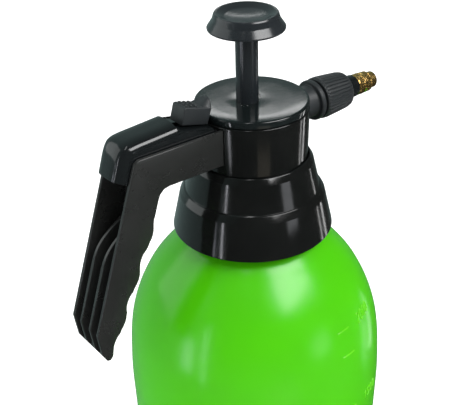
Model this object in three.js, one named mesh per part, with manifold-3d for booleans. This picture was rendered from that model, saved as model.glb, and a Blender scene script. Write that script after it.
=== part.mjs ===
// Hand pressure sprayer with a screw-on spray head, as separate solids.
// Millimetres, +Z up. The origin is the centre of the bottle's flat base. The handle points to -X
// and the nozzle to +X. Heights in the head are measured from the foot of the collar nut.

import * as THREE from 'three';
import { mergeVertices } from 'three/addons/utils/BufferGeometryUtils.js';
import Module from 'manifold-3d';

const wasm = await Module();
wasm.setup();

// ---------------------------------------------------------------- driving dimensions

const GAP = 0.3; // clearance between pieces that touch on the real object
const COLLAR_Z = 229; // foot of the collar nut above the bottle's base
const PUMP_X = -2; // the pump stands a little off the bottle's axis, towards the handle

const BOTTLE_R = 62.2;
const BOTTLE_WIDEST_Z = 154;
const BOTTLE_WALL = 1.6;
const BASE_R = 51;
const NECK_R = 28.6;
const NECK_BORE_R = 25.8;
const MOUTH_Z = 14.2; // rim of the bottle's mouth, above the collar's foot

const NUT_FOOT_R = 37.2;
const NUT_STEP_Z = 19.6; // where the lower tier ends
const NUT_TOP_Z = 35.8;
const NUT_THREAD_R = 29.4;
const NUT_HOLE_R = 25.8;

const FLANGE_R = 28.6;
const FLANGE_Z = 16.4;
const FLANGE_TOP_Z = 20.4;
const HEAD_R = 25.9;
const HEAD_FOOT_R = 25.4;
const HEAD_BORE_R = 23;
const HEAD_Z = FLANGE_TOP_Z + GAP;
const LID_Z = 59;
const LID_TOP_Z = 62.2;
const LID_R = 25.5;
const LID_X = 0.4; // the lid's disc stands a little off the head's axis, towards the nozzle

const BARREL_R = 15.8;
const BARREL_BORE_R = 14;
const BARREL_FOOT_Z = -66;
const ROD_R = 4.95;
const KNOB_Z = 95.1; // foot of the knob's skirt with the rod raised
const KNOB_TOP_Z = 102.4;

const HANDLE_HALF = 11; // half the handle's width
const PLATE = 2; // thickness of its side plates
const CHANNEL_HALF = HANDLE_HALF - PLATE;
const RIB_Y = 3.7;
const RIB = 1.8;
const WEB = 3; // thickness of the wall on the fingers' side

const TRIGGER_HALF = CHANNEL_HALF - GAP;
const PIVOT_X = -32;
const PIVOT_Z = 54.5;
const TRUNNION_R = 2;

const VALVE_Z = 47.6; // height of the valve's axis
const NOZZLE_Z = 51; // height of the nozzle's axis
const DIP_X = -7.5;
const DIP_Y = -18.5;
const DIP_R = 2.6;

// ---------------------------------------------------------------- materials

const FINISH = {
  green: { color: 0x3fae1c, roughness: 0.3, metalness: 0 },
  black: { color: 0x202624, roughness: 0.3, metalness: 0 },
  satin: { color: 0x262a28, roughness: 0.45, metalness: 0 },
  rubber: { color: 0x151515, roughness: 0.8, metalness: 0 },
  clear: { color: 0xe4e8e4, roughness: 0.35, metalness: 0 },
  brass: { color: 0xc8a048, roughness: 0.28, metalness: 1 },
  steel: { color: 0xc0c4c8, roughness: 0.25, metalness: 1 },
};

// ---------------------------------------------------------------- helpers

function piece(parent, name, geometry, finish) {
  const mesh = new THREE.Mesh(geometry, new THREE.MeshStandardMaterial(FINISH[finish]));
  mesh.name = name;
  parent.add(mesh);
  return mesh;
}

function group(parent, x, y, z) {
  const made = new THREE.Group();
  made.position.set(x, y, z);
  parent.add(made);
  return made;
}

// Turned about Z from [radius, height] points that run counter-clockwise.
function turned(points, segments = 48) {
  const profile = points.map(([r, z]) => new THREE.Vector2(r, z));
  return new THREE.LatheGeometry(profile, segments).rotateX(Math.PI / 2);
}

// Turned about X from [radius, place along X] points that run counter-clockwise.
function turnedX(points, segments = 32) {
  const profile = points.map(([r, x]) => new THREE.Vector2(r, x));
  return new THREE.LatheGeometry(profile, segments).rotateZ(-Math.PI / 2);
}

// A plain ring between two radii and two heights, as a closed profile.
function ring(inner, outer, low, high) {
  return [[inner, low], [outer, low], [outer, high], [inner, high], [inner, low]];
}

function disc(outer, low, high) {
  return [[0, low], [outer, low], [outer, high], [0, high]];
}

function roundWire(centre, wire, at, steps) {
  return Array.from({ length: steps + 1 }, (_, i) => {
    const a = (2 * Math.PI * i) / steps;
    return [centre + wire * Math.cos(a), at + wire * Math.sin(a)];
  });
}

// A plate in the XZ plane, from y = low to y = high.
function plateXZ(shape, low, high) {
  const flat = new THREE.ExtrudeGeometry(shape, {
    depth: high - low, bevelEnabled: false, curveSegments: 6,
  });
  return flat.rotateX(Math.PI / 2).translate(0, high, 0);
}

function shapeOf(points) {
  return new THREE.Shape(points.map(([x, z]) => new THREE.Vector2(x, z)));
}

function circlePath(radius, count) {
  const path = new THREE.Shape();
  for (let i = 0; i < count; i += 1) {
    const a = (2 * Math.PI * i) / count;
    const x = radius * Math.cos(a);
    const y = radius * Math.sin(a);
    if (i === 0) path.moveTo(x, y);
    else path.lineTo(x, y);
  }
  path.closePath();
  return path;
}

// A curve whose steps are shared out between its points, so that straight runs take few of them.
class Route extends THREE.CatmullRomCurve3 {
  getUtoTmapping(u) {
    return u;
  }
}

function routeOf(points) {
  return new Route(points.map((p) => new THREE.Vector3(...p)), false, 'centripetal');
}

function tubeAlong(curve, outer, inner, steps, sides = 8) {
  const section = circlePath(outer, sides);
  if (inner > 0) section.holes.push(circlePath(inner, sides));
  return new THREE.ExtrudeGeometry(section, { steps, bevelEnabled: false, extrudePath: curve });
}

class Helix extends THREE.Curve {
  constructor(radius, length, turns) {
    super();
    this.radius = radius;
    this.length = length;
    this.turns = turns;
  }

  getPoint(t, target = new THREE.Vector3()) {
    const a = 2 * Math.PI * this.turns * t;
    return target.set(this.radius * Math.cos(a), this.radius * Math.sin(a), this.length * t);
  }
}

function solid(geometry) {
  const bare = new THREE.BufferGeometry();
  bare.setAttribute('position', geometry.getAttribute('position').clone());
  if (geometry.index) bare.setIndex(geometry.index.clone());
  const merged = mergeVertices(bare, 1e-4);
  const mesh = new wasm.Mesh({
    numProp: 3,
    vertProperties: new Float32Array(merged.getAttribute('position').array),
    triVerts: new Uint32Array(merged.index.array),
  });
  mesh.merge();
  return new wasm.Manifold(mesh);
}

function geometryOf(manifold) {
  const mesh = manifold.getMesh();
  const geometry = new THREE.BufferGeometry();
  geometry.setAttribute('position', new THREE.BufferAttribute(new Float32Array(mesh.vertProperties), 3));
  geometry.setIndex(new THREE.BufferAttribute(new Uint32Array(mesh.triVerts), 1));
  return geometry;
}

function joined(first, ...others) {
  return others.reduce((sum, geometry) => sum.add(solid(geometry)), solid(first));
}

function cutFrom(body, ...tools) {
  return tools.reduce((rest, geometry) => rest.subtract(solid(geometry)), body);
}

// ---------------------------------------------------------------- bottle

function bottleOutline() {
  const wall = new THREE.SplineCurve([
    new THREE.Vector2(61, 13),
    new THREE.Vector2(60.1, 70),
    new THREE.Vector2(61.4, 124),
    new THREE.Vector2(BOTTLE_R, BOTTLE_WIDEST_Z),
    new THREE.Vector2(59.3, 181),
    new THREE.Vector2(50.5, 203),
    new THREE.Vector2(36.8, 220),
    new THREE.Vector2(29.6, 226.8),
  ]).getPoints(11).map((p) => [p.x, p.y]);
  const heel = [];
  for (let i = 1; i <= 4; i += 1) {
    const a = -Math.PI / 2 + (Math.PI / 2) * (i / 5);
    heel.push([BASE_R + 10 * Math.cos(a), 10 + 10 * Math.sin(a)]);
  }
  return [[BASE_R, 0], ...heel, ...wall];
}

function bottle() {
  const outer = bottleOutline();
  const inner = outer.map(([r, z]) => {
    const inwards = z < BOTTLE_WALL ? 0 : BOTTLE_WALL;
    return [Math.max(r - inwards, NECK_BORE_R), Math.max(z - BOTTLE_WALL * 0.4, BOTTLE_WALL)];
  });
  const mouth = COLLAR_Z + MOUTH_Z;
  const upperInner = inner.filter(([r]) => r > NECK_BORE_R + 0.5).reverse();
  return turned([
    [0, 0],
    ...outer,
    [NECK_R, COLLAR_Z],
    [NECK_R, mouth],
    [NECK_BORE_R, mouth],
    [NECK_BORE_R, COLLAR_Z - 3],
    ...upperInner.slice(0, -1),
    [0, BOTTLE_WALL],
  ], 48);
}

// ---------------------------------------------------------------- collar and seals

function collarNut() {
  return turned([
    [NUT_THREAD_R, 0],
    [NUT_FOOT_R - 0.6, 0],
    [NUT_FOOT_R, 0.7],
    [32.9, NUT_STEP_Z - 1],
    [32.3, NUT_STEP_Z],
    [31.2, NUT_STEP_Z + 0.2],
    [27.8, NUT_TOP_Z - 0.8],
    [27.2, NUT_TOP_Z],
    [NUT_HOLE_R, NUT_TOP_Z],
    [NUT_HOLE_R, FLANGE_TOP_Z + GAP],
    [NUT_THREAD_R, FLANGE_TOP_Z + GAP],
    [NUT_THREAD_R, 0],
  ], 48);
}

function headGasket() {
  return turned(ring(NECK_BORE_R + 0.1, NECK_R - 0.1, MOUTH_Z + GAP, FLANGE_Z - GAP), 40);
}

// ---------------------------------------------------------------- handle outline

const GRIP_SLOPE = 0.452;
const BUMP_PITCH = 18.3;

// The handle's back edge leans back by about a third of its height.
function backX(z) {
  return -72 - 0.331 * (44 - z);
}

// The fingers' edge: a slanting line with three soft swellings.
function fingerX(z) {
  const swelling = 1.1 * (1 + Math.cos((2 * Math.PI * (z - 20.3)) / BUMP_PITCH));
  return -68.3 + GRIP_SLOPE * (z - 10.8) + swelling;
}

const TIP = [[-86, -31.5], [-87.4, -33.2], [-89, -32.9], [-91, -29.3], [backX(-18.2), -18.2]];
const KNEE = [[-57.6, 36.3], [-56.6, 38.6], [-54.6, 40.4], [-52, 41]];
const ARM_LOW_Z = 41.1;
const ARM_TOP_Z = 57.6;
const ARM_ROOT_X = -24.2;

function fingerPoints(shift) {
  const points = [];
  for (let z = 30; z >= -27; z -= 3) {
    points.push([fingerX(z) - shift, z]);
  }
  return points;
}

function handleOutline() {
  return shapeOf([
    [ARM_ROOT_X, ARM_LOW_Z],
    [ARM_ROOT_X, ARM_TOP_Z],
    [-65.6, ARM_TOP_Z],
    [backX(56.4), 56.4],
    ...[...TIP].reverse(),
    ...fingerPoints(0).reverse(),
    ...KNEE,
  ]);
}

// The wall on the fingers' side and under the arm.
function webOutline() {
  return shapeOf([
    [ARM_ROOT_X, ARM_LOW_Z],
    [ARM_ROOT_X, ARM_LOW_Z + WEB],
    [-53.4, ARM_LOW_Z + WEB],
    [-58.6, ARM_LOW_Z + 1],
    [-61, 37],
    ...fingerPoints(WEB),
    [-88.4, -28],
    [-89.6, -31.6],
    [-89, -32.9],
    [-87.4, -33.2],
    [-86, -31.5],
    ...fingerPoints(0).reverse(),
    ...KNEE,
  ]);
}

// An inner fin: its top sweeps from the web down to the back edge.
function ribOutline() {
  const sweep = new THREE.QuadraticBezierCurve(
    new THREE.Vector2(-62, 28.6),
    new THREE.Vector2(-80.5, 20.5),
    new THREE.Vector2(backX(9.7), 9.7),
  ).getPoints(7).map((p) => [p.x, p.y]);
  return shapeOf([
    ...sweep,
    ...[...TIP].reverse(),
    ...fingerPoints(1).reverse(),
  ]);
}

// ---------------------------------------------------------------- head body with its handle

const VALVE_BOSS_R = 5.8;
const VALVE_BOSS_END = -8.4;
const VALVE_CHAMBER_R = 4.3;
const VALVE_CHAMBER_END = -9.7;
const SEAT_X = [-17.2, -16];
const SEAT_HOLE_R = 2.1;
const NIPPLE_IN_X = -13.4;
const NIPPLE_OUT_X = -18.4;

function yCylinder(radius, x, z, low, high, segments = 24) {
  const made = new THREE.CylinderGeometry(radius, radius, high - low, segments);
  return made.translate(x, (low + high) / 2, z);
}

function headBody() {
  const shell = turned([
    [HEAD_BORE_R, HEAD_Z],
    [HEAD_FOOT_R, HEAD_Z],
    [HEAD_FOOT_R, NUT_TOP_Z],
    [HEAD_R, LID_Z - GAP],
    [HEAD_BORE_R, LID_Z - GAP],
    [HEAD_BORE_R, HEAD_Z],
  ], 64);
  const sides = [-1, 1].map((side) => {
    const near = side * HANDLE_HALF;
    const far = side * CHANNEL_HALF;
    return plateXZ(handleOutline(), Math.min(near, far), Math.max(near, far));
  });
  const web = plateXZ(webOutline(), -CHANNEL_HALF - 1, CHANNEL_HALF + 1);
  const ribs = [-1, 1].map((side) => (
    plateXZ(ribOutline(), side * RIB_Y - RIB / 2, side * RIB_Y + RIB / 2)
  ));
  const boss = turnedX(disc(VALVE_BOSS_R, -24.4, VALVE_BOSS_END), 32).translate(0, 0, VALVE_Z);
  const bossWeb = new THREE.BoxGeometry(10, 3, 4).translate(-19.6, 0, VALVE_Z + 4.2);
  const nippleIn = yCylinder(1.7, NIPPLE_IN_X, VALVE_Z, -8.9, -4.8, 16);
  const nippleOut = yCylinder(1.5, NIPPLE_OUT_X, VALVE_Z, 4.8, 8.4, 16);
  const body = joined(shell, ...sides, web, ...ribs, boss, bossWeb, nippleIn, nippleOut);

  const chamber = turnedX([
    [0, -27],
    [VALVE_CHAMBER_R, -27],
    [VALVE_CHAMBER_R, SEAT_X[0]],
    [SEAT_HOLE_R, SEAT_X[0]],
    [SEAT_HOLE_R, SEAT_X[1]],
    [VALVE_CHAMBER_R, SEAT_X[1]],
    [VALVE_CHAMBER_R, VALVE_CHAMBER_END],
    [0, VALVE_CHAMBER_END],
  ], 32).translate(0, 0, VALVE_Z);
  const portIn = yCylinder(0.9, NIPPLE_IN_X, VALVE_Z, -12, 0, 12);
  const portOut = yCylinder(0.9, NIPPLE_OUT_X, VALVE_Z, 0, 12, 12);
  const stubHole = turnedX(disc(5.3, 15, 32), 32).translate(0, 0, NOZZLE_Z);
  const sockets = [-1, 1].map((side) => {
    const from = side * (CHANNEL_HALF - 1);
    const to = side * (CHANNEL_HALF + 1.5);
    return yCylinder(TRUNNION_R + GAP, PIVOT_X, PIVOT_Z, Math.min(from, to), Math.max(from, to));
  });
  return geometryOf(cutFrom(body, chamber, portIn, portOut, stubHole, ...sockets));
}

// ---------------------------------------------------------------- lid, pump and its valve

function headLid() {
  const cap = turned([
    [0, LID_Z],
    [LID_R, LID_Z],
    [LID_R, LID_TOP_Z - 1],
    [LID_R - 0.3, LID_TOP_Z - 0.3],
    [LID_R - 1, LID_TOP_Z],
    [0, LID_TOP_Z],
  ], 48).translate(LID_X, 0, 0);
  const plug = turned(ring(20.8, HEAD_BORE_R - GAP, 54.6, LID_Z + 1), 48);
  const boss = turned(disc(8, 54, LID_Z + 1), 32).translate(PUMP_X, 0, 0);
  const hole = turned(disc(6.7, 50, 70), 32).translate(PUMP_X, 0, 0);
  return geometryOf(cutFrom(joined(cap, plug, boss), hole));
}

function rodBush() {
  return turned(ring(ROD_R + 0.15, 6.5, 54.4, LID_TOP_Z - 0.1), 32);
}

function pumpBarrel() {
  const tube = turned(disc(BARREL_R, BARREL_FOOT_Z, FLANGE_TOP_Z - 1), 36);
  const flange = turned(disc(FLANGE_R, FLANGE_Z, FLANGE_TOP_Z), 48).translate(-PUMP_X, 0, 0);
  const spigot = turned(ring(20.4, HEAD_BORE_R - GAP, FLANGE_TOP_Z - 1, 26), 48);
  spigot.translate(-PUMP_X, 0, 0);
  const notch = new THREE.BoxGeometry(9, 9, 8).translate(DIP_X - PUMP_X, DIP_Y - 1, FLANGE_TOP_Z + 4);
  const bore = turned(disc(BARREL_BORE_R, BARREL_FOOT_Z + 2, 30), 36);
  const stemHole = turned(disc(1.9, BARREL_FOOT_Z - 1, BARREL_FOOT_Z + 4), 16);
  const dipHole = turned(disc(DIP_R + GAP, 0, 30), 20).translate(DIP_X - PUMP_X, DIP_Y, 0);
  const vents = [];
  for (let i = 0; i < 6; i += 1) {
    const a = (Math.PI / 3) * i;
    const vent = turned(disc(1.2, BARREL_FOOT_Z - 1, BARREL_FOOT_Z + 4), 8);
    vents.push(vent.translate(4.6 * Math.cos(a), 4.6 * Math.sin(a), 0));
  }
  const body = joined(flange, tube).add(cutFrom(solid(spigot), notch));
  return geometryOf(cutFrom(body, bore, stemHole, dipHole, ...vents));
}

function barrelCap() {
  const cap = turned([
    [ROD_R + GAP, 18.4],
    [BARREL_BORE_R - 0.2, 18.4],
    [BARREL_BORE_R - 0.2, FLANGE_TOP_Z + GAP],
    [BARREL_R, FLANGE_TOP_Z + GAP],
    [BARREL_R, 22.4],
    [ROD_R + GAP, 22.4],
    [ROD_R + GAP, 18.4],
  ], 36);
  const slots = [0, 1, 2, 3].map((i) => {
    const slot = turned(disc(1.4, 17, 24), 8).translate(9.4, 0, 0);
    return slot.rotateZ((Math.PI / 2) * i);
  });
  return geometryOf(cutFrom(solid(cap), ...slots));
}

// A rubber umbrella: air pushes its brim off the vents, liquid cannot return.
function checkValve() {
  const seat = BARREL_FOOT_Z - GAP;
  return turned([
    [0, seat - 3],
    [3, seat - 2.8],
    [8.6, seat - 1.2],
    [9, seat],
    [1.6, seat],
    [1.6, BARREL_FOOT_Z + 2.2],
    [2.4, BARREL_FOOT_Z + 2.6],
    [1.4, BARREL_FOOT_Z + 5],
    [0, BARREL_FOOT_Z + 5.4],
  ], 24);
}

function pumpRod() {
  return turned([
    [3.2, -13.6],
    [ROD_R, -13.6],
    [ROD_R, 98.2],
    [3.2, 98.2],
    [3.2, -13.6],
  ], 28);
}

function pumpKnob() {
  const rim = KNOB_TOP_Z;
  return turned([
    [0, 98.4],
    [ROD_R + 0.2, 98.4],
    [ROD_R + 0.2, KNOB_Z + 0.6],
    [8, KNOB_Z + 0.6],
    [8.6, 98.4],
    [12.2, 99],
    [15.3, KNOB_Z],
    [16.8, KNOB_Z],
    [16.9, KNOB_Z + 0.8],
    [14.6, 99.2],
    [13.9, rim - 0.6],
    [13.4, rim],
    [12.6, rim - 0.2],
    [9.5, rim - 1.8],
    [4.8, rim - 2.6],
    [0, rim - 2.8],
  ], 40);
}

function piston() {
  return turned([
    [0, -24],
    [13.6, -24],
    [13.6, -21.4],
    [10, -21.4],
    [10, -15],
    [13.6, -15],
    [13.6, -12.4],
    [ROD_R + 0.2, -12.4],
    [ROD_R + 0.2, -13.8],
    [0, -13.8],
  ], 32);
}

function pistonSeal() {
  return turned([
    [10.2, -21.2],
    [13, -21.2],
    [13.85, -19.4],
    [13.85, -16.4],
    [12.8, -15.2],
    [10.2, -15.2],
    [10.2, -21.2],
  ], 32);
}

// ---------------------------------------------------------------- liquid path

function dipTube() {
  return tubeAlong(routeOf([
    [DIP_X, DIP_Y, 6 - COLLAR_Z],
    [DIP_X, DIP_Y, 26],
    [-8.6, -17.8, 34],
    [-11.2, -15.8, 41],
    [-13.1, -12, 45.2],
    [NIPPLE_IN_X, -8.6, VALVE_Z],
    [NIPPLE_IN_X, -6.7, VALVE_Z],
  ]), DIP_R, 1.9, 18, 10);
}

function strainer() {
  const foot = 3 - COLLAR_Z;
  return turned([
    [DIP_R + 0.2, foot + 2.5],
    [4.2, foot + 2.5],
    [4.2, foot + 1.2],
    [4.8, foot],
    [5, foot + 4],
    [4.2, foot + 11],
    [DIP_R + 0.2, foot + 11],
    [DIP_R + 0.2, foot + 2.5],
  ], 16);
}

function outletHose() {
  return tubeAlong(routeOf([
    [NIPPLE_OUT_X, 6.3, VALVE_Z],
    [NIPPLE_OUT_X, 8.5, VALVE_Z],
    [-16.4, 11.4, VALVE_Z + 0.3],
    [-12, 14, VALVE_Z + 0.8],
    [-4, 15.4, 48.8],
    [5, 13.4, 50],
    [11, 8.2, 50.8],
    [14.6, 2.4, NOZZLE_Z],
    [18.2, 0, NOZZLE_Z],
    [22.6, 0, NOZZLE_Z],
  ]), 2.6, 1.9, 27);
}

function valveStem() {
  return turnedX([
    [0, -30.4],
    [1.1, -30.4],
    [1.4, -30.1],
    [1.4, -15.4],
    [3.4, -15.4],
    [3.4, -14.3],
    [1.2, -14.3],
    [1.2, -12.6],
    [0, -12.6],
  ], 20);
}

function valveSeal() {
  return turnedX(ring(1.5, 3.4, SEAT_X[1] + 0.05, -15.5), 24);
}

function valveGland() {
  return turnedX([
    [1.55, -26.6],
    [4, -26.6],
    [4.15, -26.2],
    [4.15, -21.6],
    [1.55, -21.6],
    [1.55, -26.6],
  ], 24);
}

function coil(radius, wire, length, turns) {
  return tubeAlong(new Helix(radius, length, turns), wire, 0, turns * 8, 5);
}

// ---------------------------------------------------------------- trigger and its lock

const DECK_OUTER = [-44.6, 63.6];
const DECK_INNER = [-26.6, 58.9];
const DECK_ANGLE = Math.atan2(DECK_INNER[1] - DECK_OUTER[1], DECK_INNER[0] - DECK_OUTER[0]);
const SKIN = 1.8;
const PAD_HALF = TRIGGER_HALF - 0.35; // the crowned pad is let into the side skirts

// The pad's edge line, from the step above the deck, over the corner, to the lower lip.
const PAD_EDGE = new THREE.CatmullRomCurve3([
  new THREE.Vector3(-44.6, 0, 62.1),
  new THREE.Vector3(-56, 0, 61.2),
  new THREE.Vector3(-66, 0, 60.1),
  new THREE.Vector3(-71, 0, 57.4),
  new THREE.Vector3(-73.4, 0, 52.6),
  new THREE.Vector3(-74.2, 0, 47.4),
], false, 'centripetal');

function padRise(t) {
  return 3.7 - 2.1 * (Math.max(0, t - 0.6) / 0.4) ** 2;
}

// The crowned pad: a flat box bent along the edge line and arched across its top.
function crownedPad() {
  const pad = new THREE.BoxGeometry(1, 2 * PAD_HALF, 1, 12, 8, 1);
  const at = pad.getAttribute('position');
  for (let i = 0; i < at.count; i += 1) {
    const t = 0.5 - at.getX(i);
    const y = at.getY(i);
    const point = PAD_EDGE.getPointAt(t);
    const along = PAD_EDGE.getTangentAt(t);
    const across = Math.abs(y / PAD_HALF);
    const height = padRise(t) * Math.sqrt(Math.max(0, 1 - across ** 2.6));
    const out = at.getZ(i) > 0 ? height : -SKIN;
    at.setXYZ(i, point.x + along.z * out, y, point.z - along.x * out);
  }
  return pad;
}

function skirtOutline() {
  return shapeOf([
    [DECK_INNER[0], 56],
    [DECK_INNER[0], DECK_INNER[1]],
    [-40, 61.9],
    [-44.6, 62],
    [-56, 61.1],
    [-66, 60],
    [-70.9, 57.3],
    [-73.3, 52.6],
    [-74.1, 47.4],
    [-73, 46.4],
    [-70.5, 46.8],
    [-66, 51],
    [-36, 51],
    [-34.6, 50.4],
    [-29.6, 50.4],
  ]);
}

function triggerLever() {
  const skirts = [-1, 1].map((side) => {
    const outer = side * TRIGGER_HALF;
    const inner = side * (TRIGGER_HALF - 1.6);
    return plateXZ(skirtOutline(), Math.min(outer, inner), Math.max(outer, inner));
  });
  const deck = plateXZ(shapeOf([
    DECK_INNER,
    [DECK_OUTER[0] - 1, DECK_OUTER[1] - 0.5],
    [DECK_OUTER[0] - 1, DECK_OUTER[1] - 2.7],
    [DECK_INNER[0], DECK_INNER[1] - 2],
  ]), 0.8 - TRIGGER_HALF, TRIGGER_HALF - 0.8);
  const lug = plateXZ(shapeOf([
    [-30.7, 45.4], [-30.7, 58.8], [-33.6, 59.6], [-33.6, 47], [-32.6, 45.4],
  ]), -3, 3);
  const trunnions = [-1, 1].map((side) => {
    const from = side * (TRIGGER_HALF - 1);
    const to = side * (CHANNEL_HALF + 1.2);
    return yCylinder(TRUNNION_R, PIVOT_X, PIVOT_Z, Math.min(from, to), Math.max(from, to));
  });
  const slot = plateXZ(shapeOf([
    [-42.2, 50.5], [-42.2, 66], [-34.5, 66], [-34.5, 50.5],
  ]), -1.9, 1.9);
  const body = joined(crownedPad(), ...skirts, deck, lug, ...trunnions);
  return geometryOf(cutFrom(body, slot));
}

// The lock slider in its own frame: X runs along the deck towards the head, Z stands off the deck.
function lockSlider() {
  const blockShape = shapeOf([
    [-7.1, 0.3], [6.6, 0.3], [6.6, 3.4], [7.3, 9.6], [6.6, 10.5], [5.4, 10.3], [2.6, 8],
    [-6.3, 7.9], [-6.9, 7.4],
  ]);
  const block = plateXZ(blockShape, -4.6, 4.6);
  const keel = new THREE.BoxGeometry(2.6, 3, 5.4).translate(-3, 0, -1.6);
  const foot = new THREE.BoxGeometry(2.6, 6.4, 1.2).translate(-3, 0, -3.7);
  const ridges = [-4.9, -2.6, -0.3].flatMap((x) => [-2.5, 0, 2.5].map((y) => (
    new THREE.SphereGeometry(0.9, 6, 4).translate(x, y, 7.9)
  )));
  return geometryOf(joined(block, keel, foot, ...ridges));
}

// ---------------------------------------------------------------- nozzle

const PIPE_R = 7.3;
const RIM_R = 9.45;
const RIM_X = [34.2, 36.7];

// The outlet pipe: it sits on the head's round side and a spigot passes through the wall.
function outletStub() {
  const pipe = turnedX([
    [0, 20],
    [PIPE_R, 20],
    [PIPE_R, RIM_X[0]],
    [RIM_R - 0.4, RIM_X[0]],
    [RIM_R, RIM_X[0] + 0.4],
    [RIM_R, RIM_X[1] - 0.4],
    [RIM_R - 0.4, RIM_X[1]],
    [6.8, RIM_X[1]],
    [6.8, 48],
    [0, 48],
  ], 40);
  const headRoom = turned(disc(HEAD_R + GAP, 30, 70), 64).translate(0, 0, -NOZZLE_Z);
  const spigot = turnedX([
    [0, 18.6],
    [1.6, 18.6],
    [1.6, 23.2],
    [5, 23.2],
    [5, 28],
    [0, 28],
  ], 40);
  const bore = turnedX(disc(1.1, 18, 49), 24);
  return geometryOf(cutFrom(cutFrom(solid(pipe), headRoom).add(solid(spigot)), bore));
}

function nozzleNut() {
  const flutes = 36;
  const outline = new THREE.Shape();
  for (let i = 0; i < flutes * 3; i += 1) {
    const a = (2 * Math.PI * i) / (flutes * 3);
    const r = 1 - (i % 3 === 0 ? 0.055 : 0);
    if (i === 0) outline.moveTo(r * Math.cos(a), r * Math.sin(a));
    else outline.lineTo(r * Math.cos(a), r * Math.sin(a));
  }
  outline.closePath();
  const radii = [9.4, 9.75, 9.8, 9.35, 8.8, 8.3, 7.2];
  const places = [38.1, 38.7, 41, 46.6, 52.6, 54.5, 55.8];
  const prism = new THREE.ExtrudeGeometry(outline, {
    depth: 1, steps: places.length - 1, bevelEnabled: false,
  });
  const at = prism.getAttribute('position');
  for (let i = 0; i < at.count; i += 1) {
    const k = Math.round(at.getZ(i) * (places.length - 1));
    at.setXYZ(i, at.getX(i) * radii[k], at.getY(i) * radii[k], places[k]);
  }
  prism.rotateY(Math.PI / 2);
  const bore = turnedX([
    [0, 30], [7.2, 30], [7.2, 51.8], [5.6, 51.8], [5.6, 60], [0, 60],
  ], 40);
  return geometryOf(cutFrom(solid(prism), bore));
}

function nozzleStem() {
  return turnedX([
    [1.3, 49.8],
    [6.6, 49.8],
    [6.6, 51.4],
    [5.3, 51.4],
    [5.3, 61],
    [4.9, 61.4],
    [3.1, 61.4],
    [3.1, 63.4],
    [2.4, 63.4],
    [2.4, 64.8],
    [3.1, 64.8],
    [3.1, 67.6],
    [1.3, 67.6],
    [1.3, 49.8],
  ], 24);
}

function brassTip() {
  return turnedX([
    [3.4, 61.7],
    [5, 61.7],
    [5.1, 62.2],
    [5.1, 65.5],
    [4.5, 65.9],
    [4.5, 66.3],
    [4.95, 66.7],
    [4.8, 70],
    [3.95, 70.4],
    [3.9, 74],
    [1.9, 74],
    [0.9, 73.2],
    [0.9, 72.4],
    [3.4, 72],
    [3.4, 61.7],
  ], 24);
}

// ---------------------------------------------------------------- assembly

const sprayer = new THREE.Group();
piece(sprayer, 'tank', bottle(), 'green');

const head = group(sprayer, 0, 0, COLLAR_Z);
piece(head, 'collar_nut', collarNut(), 'black');
piece(head, 'head_gasket', headGasket(), 'rubber');
piece(head, 'head_body', headBody(), 'satin');
piece(head, 'head_lid', headLid(), 'black');
piece(head, 'dip_tube', dipTube(), 'clear');
piece(group(head, DIP_X, DIP_Y, 0), 'strainer', strainer(), 'clear');
piece(head, 'outlet_hose', outletHose(), 'clear');

const pump = group(head, PUMP_X, 0, 0);
piece(pump, 'rod_bush', rodBush(), 'satin');
piece(pump, 'pump_barrel', pumpBarrel(), 'satin');
piece(pump, 'barrel_cap', barrelCap(), 'satin');
piece(pump, 'check_valve', checkValve(), 'rubber');
piece(pump, 'pump_rod', pumpRod(), 'black');
piece(pump, 'pump_knob', pumpKnob(), 'black');
piece(pump, 'piston', piston(), 'satin');
piece(pump, 'piston_seal', pistonSeal(), 'rubber');

const valve = group(head, 0, 0, VALVE_Z);
piece(valve, 'valve_stem', valveStem(), 'steel');
piece(valve, 'valve_seal', valveSeal(), 'rubber');
piece(valve, 'valve_gland', valveGland(), 'satin');
piece(valve, 'gland_oring', turnedX(roundWire(2.85, 1.2, -20.1, 6), 16), 'rubber');
const valveSpring = piece(valve, 'valve_spring', coil(2.4, 0.3, 3.2, 4), 'steel');
valveSpring.rotation.y = Math.PI / 2;
valveSpring.position.x = -13.7;

piece(head, 'trigger_lever', triggerLever(), 'black');
const triggerSpring = piece(head, 'trigger_spring', coil(3, 0.45, 14.2, 6), 'steel');
triggerSpring.position.set(-52, 0, ARM_LOW_Z + WEB + 0.8);
const lock = piece(head, 'lock_slider', lockSlider(), 'black');
lock.rotation.y = -DECK_ANGLE;
lock.position.set(-33.4, 0, 60.66);

const nozzle = group(head, 0, 0, NOZZLE_Z);
piece(nozzle, 'outlet_stub', outletStub(), 'black');
piece(nozzle, 'nozzle_gasket', turnedX(ring(1.6, 5.6, 48.3, 49.5), 24), 'rubber');
piece(nozzle, 'nozzle_nut', nozzleNut(), 'black');
piece(nozzle, 'nozzle_stem', nozzleStem(), 'black');
piece(nozzle, 'tip_oring', turnedX(roundWire(2.93, 0.42, 64.1, 6), 16), 'rubber');
piece(nozzle, 'brass_tip', brassTip(), 'brass');
piece(nozzle, 'swirl_core', turnedX(ring(0.6, 3.2, 69, 71.6), 20), 'brass');

export default sprayer;
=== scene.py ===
# The looks of the hand pressure sprayer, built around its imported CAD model. Sizes are written in
# millimetres and made into metres when a mesh is built. Heights in the head are measured from the
# foot of the collar nut, as in the CAD source.
import math

import bmesh
import bpy
from mathutils import Matrix, Vector


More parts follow.
